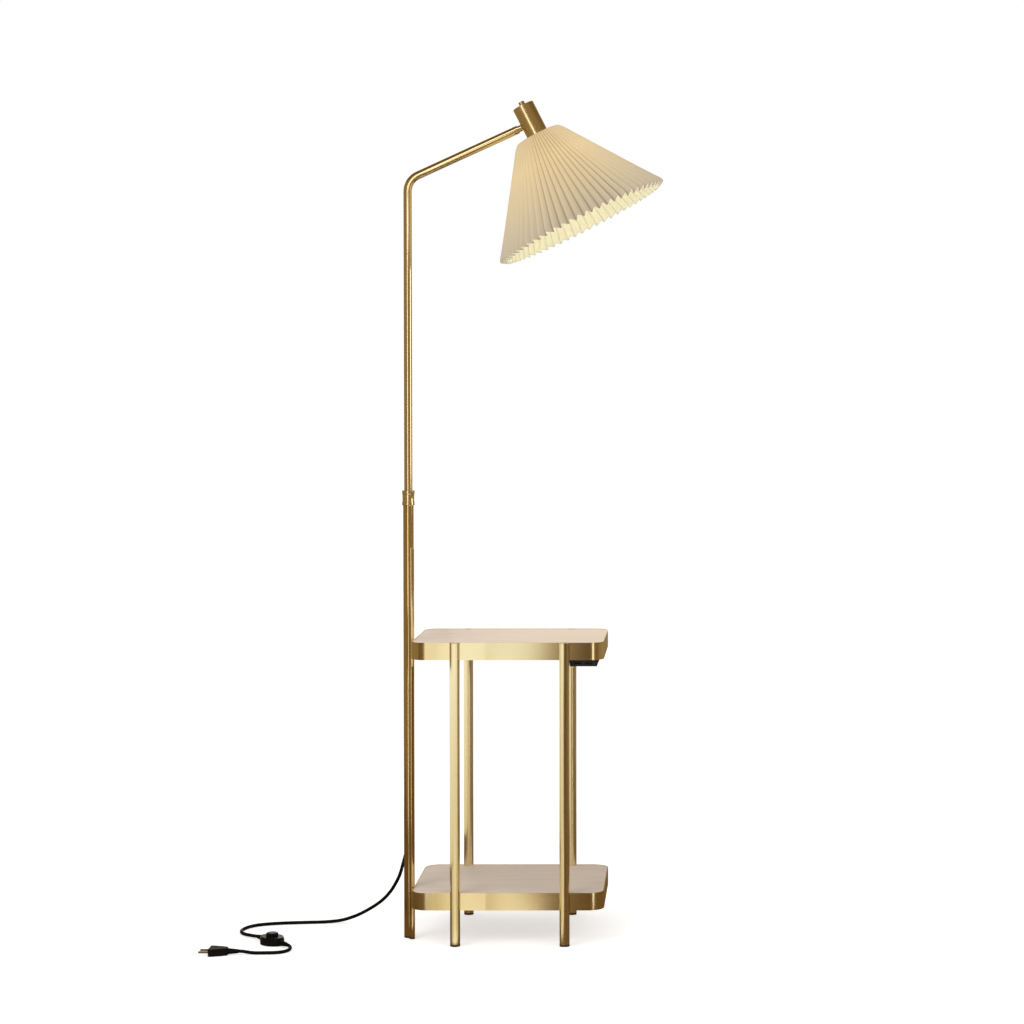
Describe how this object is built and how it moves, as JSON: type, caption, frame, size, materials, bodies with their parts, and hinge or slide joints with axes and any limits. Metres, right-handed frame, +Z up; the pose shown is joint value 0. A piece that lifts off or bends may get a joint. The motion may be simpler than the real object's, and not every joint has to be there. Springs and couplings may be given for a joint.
{
  "type": "floor lamp with side table",
  "caption": "Brass floor lamp with a telescoping post, bent arm and pleated cone shade, joined to a two-tier side table; a foot switch and plug lie on its cord.",
  "frame": {"origin": "on the floor, at the centre of the post's foot", "axes": "+Z up along the post, +X towards the table's right side, +Y towards its back"},
  "size_m": [0.8645, 0.388, 1.604],
  "materials": {
    "shelf_top": "matt lacquer",
    "brass_satin": "satin",
    "black_plastic": "matt",
    "cord_rubber": "matt",
    "steel": "plated",
    "white_plastic": "gloss",
    "shade_film": "matt, lets light through",
    "bulb_glow": "opal"
  },
  "bodies": {
    "base": {"top_board": "shelf_top", "lower_board": "shelf_top", "top_band": "brass_satin", "lower_band": "brass_satin", "front_left_leg": "brass_satin", "front_right_leg": "brass_satin", "rear_left_leg": "brass_satin", "rear_right_leg": "brass_satin", "leg_caps": "brass_satin", "lower_post": "brass_satin", "stay_tube": "brass_satin", "stay_cap": "brass_satin", "leg_glides": "black_plastic", "post_glide": "black_plastic", "stay_glide": "black_plastic", "charger_case": "black_plastic", "charger_tongues": "black_plastic", "pressure_ring": "black_plastic", "cord_grommet": "black_plastic", "switch_base": "black_plastic", "switch_cover": "black_plastic", "switch_reliefs": "black_plastic", "plug_body": "black_plastic", "plug_relief": "black_plastic", "cord_to_switch": "cord_rubber", "cord_to_plug": "cord_rubber", "leg_studs": "steel", "charger_screws": "steel", "post_studs": "steel", "switch_screws": "steel", "plug_pins": "steel"},
    "collar": {"post_collar": "brass_satin"},
    "slider": {"guide_bush": "black_plastic"},
    "arm": {"upper_post": "brass_satin", "arm_neck": "brass_satin", "swivel_pin": "steel", "swivel_nut": "steel"},
    "head": {"head_cup": "brass_satin", "cap_nut": "brass_satin", "holder_rod": "steel", "lamp_holder": "white_plastic", "clamp_ring": "white_plastic", "shade_carrier": "steel", "shade_pleats": "shade_film", "bulb_base": "steel", "bulb_globe": "bulb_glow"},
    "button": {"switch_button": "black_plastic"}
  },
  "joints": [
    {"name": "collar_twist", "type": "hinge", "parent": "base", "child": "collar", "pos_m": [0, 0, 0.846], "axis": [0, 0, 1], "range_deg": [-90, 90]},
    {"name": "post_height", "type": "slide", "parent": "base", "child": "slider", "axis": [0, 0, 1], "range_m": [-0.12, 0.1]},
    {"name": "arm_swing", "type": "hinge", "parent": "slider", "child": "arm", "pos_m": [0, 0, 0.7], "axis": [0, 0, 1], "range_deg": [-150, 150]},
    {"name": "head_turn", "type": "hinge", "parent": "arm", "child": "head", "pos_m": [0.2375, 0, 1.56123], "axis": [0.91, 0, 0.4147], "range_deg": [-60, 60]},
    {"name": "switch_press", "type": "slide", "parent": "base", "child": "button", "axis": [0, 0, -1], "range_m": [0, 0.003], "stiffness_N_per_m": 400, "springref_m": -0.004}
  ]
}
